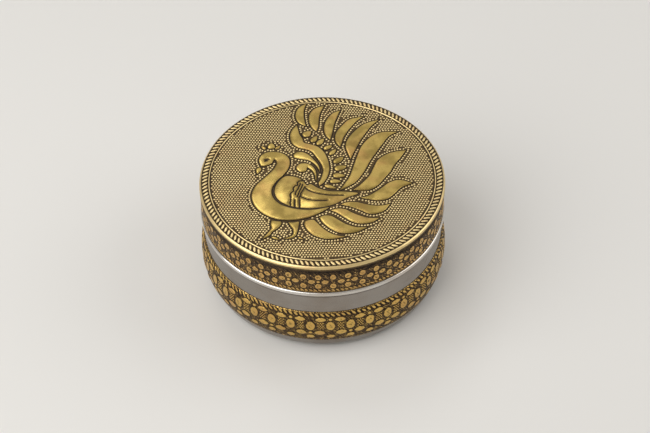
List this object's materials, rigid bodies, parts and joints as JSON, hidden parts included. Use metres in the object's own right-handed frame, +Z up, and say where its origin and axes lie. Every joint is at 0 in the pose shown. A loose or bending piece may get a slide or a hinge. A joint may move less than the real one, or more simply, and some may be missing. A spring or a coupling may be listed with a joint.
{
  "type": "dry fruit box",
  "caption": "Round steel dry fruit box with a lift-off lid, stamped brass cladding and a loose divided tray inside.",
  "frame": {"origin": "middle of the bowl's foot, on the surface the box stands on", "axes": "+Z up along the box's axis; the stamped bird on the lid faces -X and its feet point to -Y, the side the box is seen from"},
  "size_m": [0.157, 0.157, 0.0766],
  "materials": {
    "steel": "polished, with fine turning lines",
    "tray_steel": "satin",
    "antique_brass": "stamped, darkened in the hollows and rubbed bright on the raised work"
  },
  "bodies": {
    "base": {"base_bowl": "steel", "base_side_strip": "antique_brass"},
    "lid": {"lid_pan": "steel", "lid_top_sheet": "antique_brass", "lid_side_strip": "antique_brass"},
    "insert": {"insert_tray": "tray_steel", "partition_long": "tray_steel", "partition_cross": "tray_steel"}
  },
  "joints": [
    {"name": "lid_lift", "type": "slide", "parent": "base", "child": "lid", "axis": [0, 0, 1], "range_m": [0, 0.16]},
    {"name": "insert_lift", "type": "slide", "parent": "base", "child": "insert", "axis": [0, 0, 1], "range_m": [0, 0.072]}
  ],
  "couplings": [
    {"joint": "insert_lift", "follows": "lid_lift", "ratio": 0.45}
  ]
}
